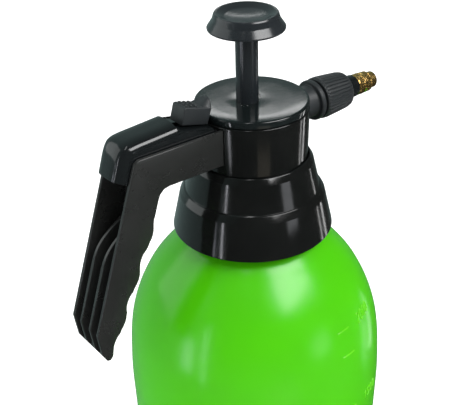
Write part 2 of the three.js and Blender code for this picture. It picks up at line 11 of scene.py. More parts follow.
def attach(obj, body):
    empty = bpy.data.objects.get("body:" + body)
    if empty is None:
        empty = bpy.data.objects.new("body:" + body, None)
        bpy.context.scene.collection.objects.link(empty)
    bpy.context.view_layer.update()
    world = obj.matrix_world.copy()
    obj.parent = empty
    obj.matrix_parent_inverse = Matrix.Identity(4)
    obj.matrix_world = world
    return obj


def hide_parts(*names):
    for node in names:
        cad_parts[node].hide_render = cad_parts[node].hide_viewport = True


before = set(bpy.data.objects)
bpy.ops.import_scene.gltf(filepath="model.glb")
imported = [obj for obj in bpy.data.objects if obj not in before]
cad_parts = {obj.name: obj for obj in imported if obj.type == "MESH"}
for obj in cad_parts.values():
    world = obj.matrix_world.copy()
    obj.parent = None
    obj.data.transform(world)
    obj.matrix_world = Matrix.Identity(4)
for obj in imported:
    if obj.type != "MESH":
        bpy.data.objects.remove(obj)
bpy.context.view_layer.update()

MM = 0.001
COLLAR_Z = 229
PUMP_X = -2
VALVE_Z = 47.6
NOZZLE_Z = 51
ROD_R = 4.95

EPSILON = 1e-6
MERGE_DISTANCE = 1e-4
CORNER_SHARE = 0.45  # the most of an edge that the rounding of one corner may take
NEARLY_STRAIGHT = math.radians(86)
BEVEL_STEPS = 3

# ---------------------------------------------------------------- profiles and outlines


def soften(points, radius, closed=False, steps=4, even=False):
    """A polyline whose corners are rounded. A point may carry its own radius as a third number.
    With even set, every corner gives the same number of points."""
    count = len(points)
    out = []
    for i, point in enumerate(points):
        own = point[2] if len(point) > 2 else radius
        here = Vector(point[:2])
        if not closed and i in (0, count - 1):
            out.append(tuple(here))
            continue
        back = Vector(points[i - 1][:2]) - here
        ahead = Vector(points[(i + 1) % count][:2]) - here
        if own <= 0 or back.length < EPSILON or ahead.length < EPSILON:
            out.append(tuple(here))
            continue
        half = back.angle(ahead) / 2
        if half > NEARLY_STRAIGHT and not even:
            out.append(tuple(here))
            continue
        reach = own / max(math.tan(half), 1e-3)
        reach = min(reach, CORNER_SHARE * back.length, CORNER_SHARE * ahead.length)
        start = here + back.normalized() * reach
        end = here + ahead.normalized() * reach
        for k in range(steps + 1):
            t = k / steps
            bend = (1 - t) ** 2 * start + 2 * t * (1 - t) * here + t ** 2 * end
            out.append(tuple(bend))
    return out


def spline(points, steps=10):
    """Catmull-Rom through the points."""
    rows = [Vector(p) for p in points]
    rows = [2 * rows[0] - rows[1], *rows, 2 * rows[-1] - rows[-2]]
    out = []
    for i in range(1, len(rows) - 2):
        a, b, c, d = rows[i - 1:i + 3]
        for k in range(steps):
            t = k / steps
            out.append(tuple(0.5 * (
                2 * b + (c - a) * t + (2 * a - 5 * b + 4 * c - d) * t ** 2
                + (3 * b - a - 3 * c + d) * t ** 3
            )))
    out.append(tuple(rows[-2]))
    return out


# ---------------------------------------------------------------- meshes


def finish_mesh(name, bm, material, body, nodes, sharp, lift=0, shift=(0, 0)):
    """Turns a bmesh in millimetres into a piece that rides on its body."""
    bmesh.ops.remove_doubles(bm, verts=bm.verts, dist=MERGE_DISTANCE)
    bmesh.ops.recalc_face_normals(bm, faces=bm.faces)
    for v in bm.verts:
        v.co = Vector((v.co.x + shift[0], v.co.y + shift[1], v.co.z + lift)) * MM
    mesh = bpy.data.meshes.new(name)
    bm.to_mesh(mesh)
    bm.free()
    mesh.shade_smooth()
    mesh.set_sharp_from_angle(angle=math.radians(sharp))
    obj = bpy.data.objects.new(name, mesh)
    bpy.context.scene.collection.objects.link(obj)
    mesh.materials.append(material)
    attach(obj, body)
    if nodes:
        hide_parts(*nodes)


def add_lathe(bm, profile, steps, along="z", centre=(0, 0, 0), radius_at=None):
    """Adds a turned body. The profile is a closed loop, or starts and ends on the axis.
    A radius_at function may change the radius with the height and the angle."""
    closed = (Vector(profile[0]) - Vector(profile[-1])).length < EPSILON
    rows = profile[:-1] if closed else profile
    rings = []
    for r, h in rows:
        ring = []
        for k in range(1 if r < EPSILON else steps):
            a = 2 * math.pi * k / steps
            rr = r if radius_at is None else radius_at(r, h, a)
            x, y = rr * math.cos(a), rr * math.sin(a)
            place = (x, y, h) if along == "z" else (h, x, y)
            ring.append(bm.verts.new(Vector(place) + Vector(centre)))
        rings.append(ring)
    pairs = list(zip(rings, rings[1:] + rings[:1] if closed else rings[1:]))
    for low, high in pairs:
        if len(low) == 1 and len(high) == 1:
            continue
        for k in range(steps):
            n = (k + 1) % steps
            quad = [low[k % len(low)], low[n % len(low)], high[n % len(high)], high[k % len(high)]]
            unique = list(dict.fromkeys(quad))
            if len(unique) > 2:
                bm.faces.new(unique)


def turned_piece(name, profile, material, body, nodes, steps, along="z", lift=COLLAR_Z,
                 shift=(0, 0), sharp=38, radius_at=None):
    """One turned body as a piece of its own, round the bottle's axis or the nozzle's."""
    bm = bmesh.new()
    centre = (0, 0, 0) if along == "z" else (0, 0, NOZZLE_Z)
    add_lathe(bm, profile, steps, along, centre, radius_at)
    finish_mesh(name, bm, material, body, nodes, sharp, lift, shift)


def add_slab(bm, outline, low, high, edge):
    """Adds a plate in the XZ plane between two values of y, with rounded rims."""
    made = [bm.verts.new((x, low, z)) for x, z in outline]
    face = bm.faces.new(made)
    grown = bmesh.ops.extrude_face_region(bm, geom=[face])
    top = [v for v in grown["geom"] if isinstance(v, bmesh.types.BMVert)]
    for v in top:
        v.co.y = high
    if edge > 0:
        ends = set(made) | set(top)
        rim = [
            e for e in bm.edges
            if e.verts[0] in ends and e.verts[1] in ends
            and abs(e.verts[0].co.y - e.verts[1].co.y) < EPSILON
        ]
        bmesh.ops.bevel(bm, geom=rim, offset=edge, segments=BEVEL_STEPS, profile=0.5,
                        affect="EDGES", clamp_overlap=False)


def add_grid(bm, rows):
    """Adds quads between rows of points."""
    made = [[bm.verts.new(p) for p in row] for row in rows]
    for low, high in zip(made, made[1:]):
        for k in range(len(low) - 1):
            bm.faces.new([low[k], low[k + 1], high[k + 1], high[k]])
    return made


def add_form(bm, rings):
    """Adds a solid skinned over rings of points. Each ring ends with its first point again."""
    made = add_grid(bm, rings)
    bm.faces.new(made[0][:-1])
    bm.faces.new(list(reversed(made[-1][:-1])))


def add_tube(bm, points, radius, sides):
    """A round bead along a polyline in an XZ plane, closed at both ends."""
    rows = []
    for i, point in enumerate(points):
        along = Vector(points[min(i + 1, len(points) - 1)]) - Vector(points[max(i - 1, 0)])
        side = along.cross((0, 1, 0)).normalized()
        up = side.cross(along).normalized()
        rows.append([
            Vector(point) + radius * (math.cos(a) * side + math.sin(a) * up)
            for a in (2 * math.pi * k / sides for k in range(sides + 1))
        ])
    add_form(bm, rows)


def divided(profile, step, least_r=0):
    """The profile with extra points along it, where its radius is above least_r."""
    out = []
    for (r0, h0), (r1, h1) in zip(profile, profile[1:]):
        parts = max(1, int(abs(h1 - h0) / step)) if min(r0, r1) > least_r else 1
        out += [(r0 + (r1 - r0) * k / parts, h0 + (h1 - h0) * k / parts) for k in range(parts)]
    return [*out, profile[-1]]


# ---------------------------------------------------------------- materials


class Nodes:
    """A material's node tree with short calls to add and link nodes."""

    def __init__(self, name):
        self.material = bpy.data.materials.new(name)
        self.material.use_nodes = True
        self.tree = self.material.node_tree
        self.tree.nodes.clear()
        out = self.tree.nodes.new("ShaderNodeOutputMaterial")
        self.shader = self.tree.nodes.new("ShaderNodeBsdfPrincipled")
        self.tree.links.new(self.shader.outputs["BSDF"], out.inputs["Surface"])
        self.coord = self.tree.nodes.new("ShaderNodeTexCoord").outputs["Object"]

    def add(self, kind, **values):
        node = self.tree.nodes.new(kind)
        for key, value in values.items():
            if key in node.inputs:
                node.inputs[key].default_value = value
            else:
                setattr(node, key, value)
        return node

    def link(self, source, target):
        self.tree.links.new(source, target)

    def noise(self, scale, detail=3, rough=0.55, vector=None):
        node = self.add("ShaderNodeTexNoise", Scale=scale, Detail=detail, Roughness=rough)
        self.link(vector or self.coord, node.inputs["Vector"])
        return node.outputs["Fac"]

    def spread(self, source, low, high, start=0.3, end=0.7):
        """Maps a 0 to 1 pattern between two values."""
        node = self.add("ShaderNodeMapRange")
        node.inputs["From Min"].default_value = start
        node.inputs["From Max"].default_value = end
        node.inputs["To Min"].default_value = low
        node.inputs["To Max"].default_value = high
        self.link(source, node.inputs["Value"])
        return node.outputs["Result"]

    def blend(self, source, dark, light):
        """A colour between two, by a pattern."""
        node = self.add("ShaderNodeValToRGB")
        node.color_ramp.elements[0].position = 0.32
        node.color_ramp.elements[0].color = (*dark, 1)
        node.color_ramp.elements[1].position = 0.68
        node.color_ramp.elements[1].color = (*light, 1)
        self.link(source, node.inputs["Fac"])
        return node.outputs["Color"]

    def bump(self, height, strength, distance, after=None):
        """A bump from a pattern, on top of an earlier one if there is any."""
        node = self.add("ShaderNodeBump", Strength=strength, Distance=distance)
        self.link(height, node.inputs["Height"])
        if after is not None:
            self.link(after, node.inputs["Normal"])
        return node.outputs["Normal"]


def scratches(n, scale):
    """Long soft scuffs from handling: the crests of a stretched noise."""
    mapping = n.add("ShaderNodeMapping")
    mapping.inputs["Rotation"].default_value = (0.4, 0.9, 0.7)
    mapping.inputs["Scale"].default_value = (1, 14, 1)
    n.link(n.coord, mapping.inputs["Vector"])
    return n.spread(n.noise(scale, 2, 0.5, mapping.outputs["Vector"]), 0, 1, 0.52, 0.8)


SCUFF_ROUGHNESS = 0.06  # added to the roughness where a scuff is


def plastic(name, dark, light, rough, grain, grain_depth, wave=0.0):
    """Moulded plastic: colour drift, roughness that varies, handling scuffs, a fine grain, and
    with wave set the slow waviness of a moulded face."""
    n = Nodes(name)
    n.link(n.blend(n.noise(38, 4), dark, light), n.shader.inputs["Base Color"])
    smudge = n.spread(n.noise(70, 5, 0.6), *rough)
    scuff = n.add("ShaderNodeMath", operation="MULTIPLY_ADD")
    n.link(scratches(n, 60), scuff.inputs[0])
    scuff.inputs[1].default_value = SCUFF_ROUGHNESS
    n.link(smudge, scuff.inputs[2])
    n.link(scuff.outputs[0], n.shader.inputs["Roughness"])
    normal = n.bump(n.noise(grain, 3), 0.5, grain_depth)
    if wave > 0:
        normal = n.bump(n.noise(26, 1, 0.4), 0.6, wave, normal)
    n.link(normal, n.shader.inputs["Normal"])
    return n.material


def bottle_material(name, dark, light):
    """Blow-moulded plastic: slightly translucent, smooth, with slow waves from the mould."""
    n = Nodes(name)
    n.link(n.blend(n.noise(14, 3), dark, light), n.shader.inputs["Base Color"])
    n.link(n.spread(n.noise(60, 5), 0.22, 0.26), n.shader.inputs["Roughness"])
    normal = n.bump(n.noise(900, 2), 0.15, 0.00001)
    normal = n.bump(n.noise(18, 1, 0.4), 0.3, 0.0003, normal)
    n.link(normal, n.shader.inputs["Normal"])
    n.shader.inputs["Subsurface Weight"].default_value = 0.15
    n.shader.inputs["Subsurface Radius"].default_value = (0.4, 1.0, 0.15)
    n.shader.inputs["Subsurface Scale"].default_value = 0.004
    n.shader.inputs["Specular IOR Level"].default_value = 0.42
    return n.material


def metal(name, dark, light, rough, grain=1400, depth=0.00002):
    """Machined metal: fine changes of tone and roughness, and a fine grain."""
    n = Nodes(name)
    n.link(n.blend(n.noise(420, 4), dark, light), n.shader.inputs["Base Color"])
    n.link(n.spread(n.noise(900, 4), *rough), n.shader.inputs["Roughness"])
    n.link(n.bump(n.noise(grain, 3), 0.6, depth), n.shader.inputs["Normal"])
    n.shader.inputs["Metallic"].default_value = 1
    return n.material


BLACK_GLOSS = plastic("black_gloss", (0.0030, 0.0034, 0.0033), (0.0055, 0.0060, 0.0058),
                      (0.09, 0.16), 1500, 0.00002, 0.0003)
BLACK_LID = plastic("black_lid", (0.0046, 0.0068, 0.0070), (0.0074, 0.0100, 0.0102),
                    (0.06, 0.12), 1500, 0.00002, 0.0002)
BLACK_PUMP = plastic("black_pump", (0.0105, 0.0130, 0.0150), (0.0150, 0.0180, 0.0205),
                     (0.16, 0.24), 1500, 0.00002, 0.0002)
BLACK_TRIGGER = plastic("black_trigger", (0.0040, 0.0052, 0.0056), (0.0070, 0.0086, 0.0092),
                        (0.10, 0.17), 1600, 0.00002, 0.0002)
BLACK_SATIN = plastic("black_satin", (0.0120, 0.0128, 0.0122), (0.0165, 0.0172, 0.0165),
                      (0.24, 0.33), 1800, 0.000012, 0.0001)
BLACK_MATT = plastic("black_matt", (0.0120, 0.0150, 0.0165), (0.0190, 0.0230, 0.0250),
                     (0.42, 0.55), 2200, 0.00005)
NATURAL = plastic("natural_plastic", (0.62, 0.64, 0.60), (0.74, 0.76, 0.72),
                  (0.30, 0.42), 1200, 0.00003)
RUBBER = plastic("rubber", (0.012, 0.012, 0.012), (0.022, 0.022, 0.022),
                 (0.62, 0.78), 2600, 0.00008)
GREEN = bottle_material("bottle_green", (0.056, 0.435, 0.0003), (0.064, 0.480, 0.0005))
# The marks are thin and raised. Their lighter green is a painted highlight for the light their
# strokes catch.
GREEN_MARKS_PAINTED_HIGHLIGHT = bottle_material("bottle_green_marks_painted_highlight", (0.10, 0.56, 0.006), (0.13, 0.60, 0.012))
BRASS = metal("brass", (0.52, 0.325, 0.09), (0.78, 0.53, 0.20), (0.18, 0.28), 900, 0.000005)
STEEL = metal("steel", (0.48, 0.49, 0.50), (0.64, 0.65, 0.66), (0.22, 0.34))

# ---------------------------------------------------------------- bottle

BOTTLE_WALL = 1.6
NECK_R = 28.6
NECK_BORE_R = 25.8
MOUTH_Z = COLLAR_Z + 14.2
HEEL_R = 10
THREAD_TURNS = 5
THREAD_PITCH = 2.5
THREAD_DEPTH = 0.5
# Radius and height along the wall, from the heel to the foot of the neck.
WALL_POINTS = [(61, 13), (60.1, 70), (61.4, 124), (61.9, 154), (59.3, 181), (50.5, 203),
               (36.8, 220), (29.6, 226.8)]
WALL = spline(WALL_POINTS, 22)


def wall_radius(z):
    """The wall's outer radius at a height."""
    for (r0, z0), (r1, z1) in zip(WALL, WALL[1:]):
        if z0 <= z <= z1:
            return r0 + (r1 - r0) * (z - z0) / (z1 - z0)
    return WALL[-1][0]


def tank():
    """The bottle with its wall, pushed-up base and threaded neck."""
    heel = [(51 + HEEL_R * math.cos(a), HEEL_R + HEEL_R * math.sin(a))
            for a in [-math.pi / 2 * (1 - i / 9) for i in range(1, 9)]]
    outer = [(0, 3.4), (34, 3.2), (44, 1.6), (47.5, 0), (51, 0), *heel, *WALL]
    inner = [(max(r - BOTTLE_WALL, NECK_BORE_R), z - BOTTLE_WALL * 0.4) for r, z in WALL]
    inner = [p for p in inner if p[0] > NECK_BORE_R + 0.5]
    root = NECK_R - THREAD_DEPTH
    thread = []
    for k in range(THREAD_TURNS):
        z = COLLAR_Z + 1.5 + THREAD_PITCH * k
        thread += [(root, z), (NECK_R, z + 0.5), (NECK_R, z + 1), (root, z + 1.5)]
    profile = [
        *outer, (root, COLLAR_Z), *thread, (root, MOUTH_Z - 0.3), (root - 0.3, MOUTH_Z),
        (NECK_BORE_R, MOUTH_Z), (NECK_BORE_R, COLLAR_Z - 3), *reversed(inner),
        (58, 6), (49, 4.8), (0, 5),
    ]
    turned_piece("bottle", profile, GREEN, "bottle", ["tank"], 200, lift=0,
                 sharp=50)


# Each digit is one line between corner points, in a cell 1 wide and 2 high.
DIGITS = {
    "0": [(0.1, 0.3), (0.1, 1.7), (0.5, 2), (0.9, 1.7), (0.9, 0.3), (0.5, 0), (0.1, 0.3)],
    "1": [(0.2, 1.6), (0.6, 2), (0.6, 0)],
    "2": [(0.1, 1.7), (0.5, 2), (0.9, 1.6), (0.9, 1.3), (0.1, 0), (0.95, 0)],
    "5": [(0.9, 2), (0.15, 2), (0.1, 1.1), (0.6, 1.25), (0.9, 0.9), (0.9, 0.4), (0.5, 0),
          (0.1, 0.2)],
}
DIGIT_SIZE = 2.4
DIGIT_PITCH = 3.3
DIGIT_START = 7.4
DIGIT_WIDTH = 0.34
TICK_LENGTH = 7.6
TICK_WIDTH = 0.6
MARK_RISE = 0.42
MARK_ANGLE = -77.2  # where the ticks end, in degrees from +X
MARKS = ((192.3, "2000"), (180.6, ""), (149.6, "1500"), (105, "1000"), (59, "500"))
STROKE_FOOT = -0.25  # a stroke's foot lies inside the wall, as a share of MARK_RISE
# A stroke's cross-section: place across it in half widths, and rise as a share of MARK_RISE.
STROKE_SECTION = ((-1.5, STROKE_FOOT), (-1, 0.55), (-0.5, 0.92), (0, 1), (0.5, 0.92), (1, 0.55),
                  (1.5, STROKE_FOOT))
STROKE_STEP = 1.2
STROKE_TAPER = 0.6  # how far a stroke's rounded end runs on, and how narrow it gets


def add_stroke(bm, start, end, width):
    """A raised bar on the bottle's wall. Points are (arc length from the mark line, height)."""
    (s0, z0), (s1, z1) = start, end
    length = math.hypot(s1 - s0, z1 - z0)
    across = (-(z1 - z0) / length * width / 2, (s1 - s0) / length * width / 2)
    count = max(2, int(length / STROKE_STEP))
    rows = []
    for k in range(-1, count + 2):
        t = min(max(k / count, 0), 1)
        ended = k in (-1, count + 1)
        overrun = (-STROKE_TAPER if k < 0 else STROKE_TAPER if k > count else 0) * width / length
        taper = STROKE_TAPER if ended else 1
        row = []
        for side, rise in STROKE_SECTION:
            s = s0 + (s1 - s0) * (t + overrun) + across[0] * side * taper
            z = z0 + (z1 - z0) * (t + overrun) + across[1] * side * taper
            base = wall_radius(z)
            a = math.radians(MARK_ANGLE) + s / base
            r = base + MARK_RISE * (STROKE_FOOT if ended else rise)
            row.append((r * math.cos(a), r * math.sin(a), z))
        rows.append(row)
    made = add_grid(bm, rows)
    bm.faces.new(made[0])
    bm.faces.new(list(reversed(made[-1])))
    for low, high in zip(made, made[1:]):
        bm.faces.new([low[0], high[0], high[-1], low[-1]])


def volume_marks():
    """Raised ticks with plain numbers in millilitres."""
    bm = bmesh.new()
    for z, text in MARKS:
        add_stroke(bm, (-TICK_LENGTH, z), (0, z), TICK_WIDTH)
        for i, digit in enumerate(text):
            left, low = DIGIT_START + DIGIT_PITCH * i, z - DIGIT_SIZE
            line = [(left + DIGIT_SIZE * x, low + DIGIT_SIZE * y) for x, y in DIGITS[digit]]
            for start, end in zip(line, line[1:]):
                add_stroke(bm, start, end, DIGIT_WIDTH)
    # The marks take the lighter green, a painted highlight.
    finish_mesh("volume_marks", bm, GREEN_MARKS_PAINTED_HIGHLIGHT, "bottle", (), 60)


# ---------------------------------------------------------------- collar, head and lid


def collar():
    """The collar nut: two conical tiers with rounded shoulders."""
    profile = soften([
        (29.4, 0), (37.2, 0, 0.5), (33.5, 16.8, 0.8), (31.6, 19.9, 0.6), (30.9, 20.3, 0.2),
        (28.1, 33.0, 0.8), (26.5, 35.7, 0.6), (25.8, 36.0, 0.2), (25.8, 20.7), (29.4, 20.7),
        (29.4, 0),
    ], 0.2)
    turned_piece("collar_nut_shown", profile, BLACK_GLOSS, "collar", ["collar_nut"],
                 160, sharp=30)


HANDLE_HALF = 11
CHANNEL_HALF = 9
PLATE_EDGE = 0.55
WEB = 3  # the wall on the fingers' side
WEB_LAP = 0.8  # how far the web runs into the side plates
RIB_Y = 3.7
RIB_HALF = 0.9  # half of a rib's thickness
RIB_EDGE = 0.35
RIB_STEPS = 14
GRIP_SLOPE = 0.452
BUMP_PITCH = 18.3
BUMP_HALF_HEIGHT = 1.1
ARM_LOW_Z = 41.1
ARM_TOP_Z = 57.6
ARM_ROOT_X = -23.6


def back_x(z):
    """The grip's back edge."""
    return -72 - 0.331 * (44 - z)


def finger_x(z):
    """The grip's edge on the fingers' side, with its finger bumps."""
    swelling = BUMP_HALF_HEIGHT * (1 + math.cos(2 * math.pi * (z - 20.3) / BUMP_PITCH))
    return -68.3 + GRIP_SLOPE * (z - 10.8) + swelling


FINGER_ZS = [30 - 1.5 * i for i in range(39)]
KNEE = [(-57.6, 36.3), (-56.6, 38.6), (-54.6, 40.4), (-52, 41)]
TIP = [(-86, -31.5), (-87.4, -33.1), (-89, -32.8), (-91, -29.3)]


def finger_points(shift):
    return [(finger_x(z) - shift, z) for z in FINGER_ZS]


def handle_outline():
    """A side plate of the arm and grip."""
    return [
        (ARM_ROOT_X, ARM_LOW_Z), (ARM_ROOT_X, ARM_TOP_Z), (-65.6, ARM_TOP_Z), (back_x(56.4), 56.4),
        (back_x(-18.2), -18.2), *reversed(TIP), *reversed(finger_points(0)), *KNEE,
    ]


def web_outline():
    """The wall between the side plates, under the arm and along the fingers' side."""
    return [
        (ARM_ROOT_X, ARM_LOW_Z), (ARM_ROOT_X, ARM_LOW_Z + WEB), (-53.4, ARM_LOW_Z + WEB),
        (-58.6, ARM_LOW_Z + 1), (-61, 37), *finger_points(WEB), (-88.4, -28), (-89.6, -31.6),
        (-89, -32.8), (-87.4, -33.1), (-86, -31.5), *reversed(finger_points(0)), *KNEE,
    ]


def rib_outline():
    """One of the two ribs between the side plates. Its top is a sweeping curve."""
    sweep = []
    start, middle, end = Vector((-62, 28.6)), Vector((-80.5, 20.5)), Vector((back_x(9.7), 9.7))
    for k in range(RIB_STEPS + 1):
        t = k / RIB_STEPS
        sweep.append(tuple((1 - t) ** 2 * start + 2 * t * (1 - t) * middle + t ** 2 * end))
    return [*sweep, (back_x(-18.2), -18.2), *reversed(TIP), *reversed(finger_points(1))]


def head_body():
    """The round head, and the comb handle: two side plates, two ribs and a web."""
    shell = soften([
        (23, 20.7), (25.4, 20.7), (25.4, 35.8, 0), (25.9, 58.7, 0.5), (23, 58.7), (23, 20.7),
    ], 0.2)
    turned_piece("head_shell_shown", shell, BLACK_GLOSS, "head", ["head_body"], 160)
    bm = bmesh.new()
    for side in (-1, 1):
        low, high = sorted((side * HANDLE_HALF, side * CHANNEL_HALF))
        add_slab(bm, handle_outline(), low, high, PLATE_EDGE)
        add_slab(bm, rib_outline(), side * RIB_Y - RIB_HALF, side * RIB_Y + RIB_HALF, RIB_EDGE)
    add_slab(bm, web_outline(), -CHANNEL_HALF - WEB_LAP, CHANNEL_HALF + WEB_LAP, 0)
    valve_boss = soften([(0, -24.4), (5.8, -24.4), (5.8, -8.4), (0, -8.4)], 0.3)
    add_lathe(bm, valve_boss, 40, "x", (0, 0, VALVE_Z))
    finish_mesh("handle_shown", bm, BLACK_SATIN, "head", (), 40, COLLAR_Z)


LID_X = 0.4  # the disc stands a little off the head's axis, and its hole is on the pump's
LID_R = 25.5
LID_FLAT_R = 18
LID_TOP = 62.15
SKIN_LOW = 61.2
ROD_HOLE_R = 5.25
# Small marks left by the mould beside the rod: angle, distance from the rod's axis, radius.
FLECKS = ((-152, 6.6, 0.5), (-140, 7.4, 0.35), (-128, 6.3, 0.55), (-8, 6.5, 0.4), (4, 7.3, 0.6),
          (14, 8.3, 0.35))


def head_lid():
    """The glossy disc with its rounded rim, spigot and guide for the rod's bush."""
    bm = bmesh.new()
    cap = soften([
        (ROD_HOLE_R, SKIN_LOW), (23.6, SKIN_LOW), (23.6, 59), (LID_R, 59, 0.2),
        (LID_R, LID_TOP, 1.1), (LID_FLAT_R, LID_TOP), (11, LID_TOP), (ROD_HOLE_R, LID_TOP, 0.15),
        (ROD_HOLE_R, SKIN_LOW),
    ], 0.2, steps=6)
    add_lathe(bm, cap, 160)
    for v in bm.verts:
        out = (v.co.xy.length - ROD_HOLE_R) / (LID_FLAT_R - ROD_HOLE_R)
        v.co.x += PUMP_X + (LID_X - PUMP_X) * min(1, max(0, out))
    spigot = [(20.8, 54.6), (22.7, 54.6), (22.7, 61.4), (20.8, 61.4), (20.8, 54.6)]
    guide = [(6.7, 54), (8, 54), (8, 61.4), (6.7, 61.4), (6.7, 54)]
    add_lathe(bm, spigot, 96)
    add_lathe(bm, guide, 64, centre=(PUMP_X, 0, 0))
    for angle, reach, size in FLECKS:
        a = math.radians(angle)
        fleck = soften([(0, LID_TOP - 0.2), (size, LID_TOP - 0.1), (size * 0.6, LID_TOP + 0.2),
                        (0, LID_TOP + 0.28)], 0.05)
        add_lathe(bm, fleck, 10, centre=(PUMP_X + reach * math.cos(a), reach * math.sin(a), 0))
    finish_mesh("head_lid_shown", bm, BLACK_LID, "head", ["head_lid"], 40,
                COLLAR_Z)


# ---------------------------------------------------------------- pump


def pump():
    """The hollow rod and the dished knob."""
    rod = soften([(3.2, -13.6), (ROD_R, -13.6), (ROD_R, 98.2), (3.2, 98.2), (3.2, -13.6)], 0.3)
    turned_piece("pump_rod_shown", rod, BLACK_PUMP, "plunger", ["pump_rod"], 64,
                 shift=(PUMP_X, 0))
    knob = soften([
        (0, 98.4), (5.15, 98.4), (5.15, 95.7, 0.3), (8, 95.7, 0.3), (8.6, 98.4), (12.2, 99, 1),
        (15.3, 95.2, 0.3), (16.75, 95.1, 0.35), (16.9, 95.9, 0.3), (14.7, 99.1, 1.6),
        (13.95, 101.6, 0.6), (13.5, 102.35, 0.5), (12.6, 102.2, 0.5), (9.5, 100.7, 3),
        (4.8, 99.85, 3), (0, 99.6),
    ], 0.3, steps=6)
    turned_piece("pump_knob_shown", knob, BLACK_PUMP, "plunger", ["pump_knob"],
                 128, shift=(PUMP_X, 0))


# ---------------------------------------------------------------- trigger and lock

TRIGGER_HALF = 8.7
PAD_HALF = 8.55
PAD_SKIN = 1.8
PAD_STEPS = 28
PAD_FLATNESS = 3.4  # a higher one makes the crown flatter
PAD_SHOULDER = 0.62  # a lower one makes its shoulders squarer
# The pad's two rims, and the crest along its middle, from the deck over the corner to the lip.
PAD_RIM = spline([(-44.6, 62.1), (-56, 61.3), (-64.4, 60.6), (-67.2, 59.4), (-68.8, 56),
                  (-70.2, 51.6), (-71.3, 47.2)], 10)
PAD_CREST = spline([(-44.9, 65.7), (-56, 64.9), (-65.6, 64.2), (-70.4, 62.9), (-73, 59.4),
                    (-74.8, 54.2), (-76.4, 49.2)], 10)
BEAD_R = 0.5
BEAD_SIDES = 8
BEAD_INSET = 0.32


def add_pad(bm):
    """The crowned thumb pad, arched across its top and bent over the handle's corner."""
    rows = []
    for i, (rim, crest) in enumerate(zip(PAD_RIM, PAD_CREST)):
        before = Vector(PAD_RIM[max(i - 1, 0)])
        after = Vector(PAD_RIM[min(i + 1, len(PAD_RIM) - 1)])
        along = (after - before).normalized()
        rim, crest = Vector(rim), Vector(crest)
        row = []
        for k in range(PAD_STEPS + 1):
            y = math.sin(math.pi / 2 * (-1 + 2 * k / PAD_STEPS))
            share = max(0, 1 - abs(y) ** PAD_FLATNESS) ** PAD_SHOULDER
            place = rim + (crest - rim) * share
            row.append((place.x, y * PAD_HALF, place.y))
        inner = (rim.x - along.y * PAD_SKIN, rim.y + along.x * PAD_SKIN)
        row += [(inner[0], (1 - 2 * k / 6) * PAD_HALF, inner[1]) for k in range(7)]
        row.append(row[0])
        rows.append(row)
    add_form(bm, rows)


def trigger():
    """The thumb trigger: crowned pad, side skirts with a bead along their tops, slotted deck and
    the lug that pushes the valve."""
    bm = bmesh.new()
    add_pad(bm)
    skirt = soften([
        (-26.6, 56), (-26.6, 58.9), (-40, 61.9), (-44.6, 62), (-56, 61.2), (-64.4, 60.5, 2),
        (-67.1, 59.3, 2), (-68.7, 56, 2), (-70.1, 51.6, 2), (-71.2, 47.2), (-70.6, 46.4),
        (-69.4, 46.8), (-66, 51, 1), (-36, 51), (-34.6, 50.4), (-29.6, 50.4),
    ], 0.4, closed=True)
    for side in (-1, 1):
        low, high = sorted((side * TRIGGER_HALF, side * (TRIGGER_HALF - 1.6)))
        add_slab(bm, skirt, low, high, 0.2)
        bead = spline([(-27.4, 58.9), (-33, 60.3), (-40, 61.8), (-44.6, 62.1), (-56, 61.3),
                       (-64.4, 60.5), (-66.6, 59.7)], 4)
        bead_y = side * (TRIGGER_HALF - BEAD_INSET)
        add_tube(bm, [(x, bead_y, z) for x, z in bead], BEAD_R, BEAD_SIDES)
    deck = [(-26.6, 58.9), (-45.6, 63.1), (-45.6, 60.9), (-26.6, 56.9)]
    for low, high in ((-7.9, -2.0), (2.0, 7.9)):
        add_slab(bm, deck, low, high, 0)
    lug = [(-30.7, 45.4), (-30.7, 58.4), (-33.6, 59.2), (-33.6, 47), (-32.6, 45.4)]
    add_slab(bm, lug, -3, 3, 0.3)
    finish_mesh("trigger_shown", bm, BLACK_TRIGGER, "trigger", ["trigger_lever"],
                35, COLLAR_Z)


# The slider is drawn in its own frame: X runs along the trigger's deck towards the head.
DECK_ANGLE = math.atan2(58.9 - 63.6, -26.6 + 44.6)
LOCK_AT = (-33.4, 0, 60.66)
LOCK_HALF = 4.6
LOCK_TOP = 8.1
CREST_HALF = LOCK_HALF - 0.45
CREST_RISE = 3.4


def lock_profile(y, inset):
    """A slice of the slider: flat deck, then a ramp up to an arched crest at the inner end."""
    arch = max(0, 1 - abs(y / CREST_HALF) ** 3) ** 0.7
    crest = LOCK_TOP + 0.1 + CREST_RISE * arch
    return soften([
        (-7.1 + inset, 0.3 + inset, 0.3), (6.6 - inset, 0.3 + inset, 0.3),
        (7.2 - inset, crest - 1.0, 0.6), (6.7 - inset, crest - inset, 0.35),
        (5.5, crest - 0.25 - inset, 0.35), (2.4 + 0.4 * arch, LOCK_TOP - 0.1 - inset, 0.8),
        (-6.3 + inset, LOCK_TOP - inset, 0.3), (-6.95 + inset, LOCK_TOP - 0.6 - inset, 0.3),
    ], 0.3, closed=True, steps=3, even=True)


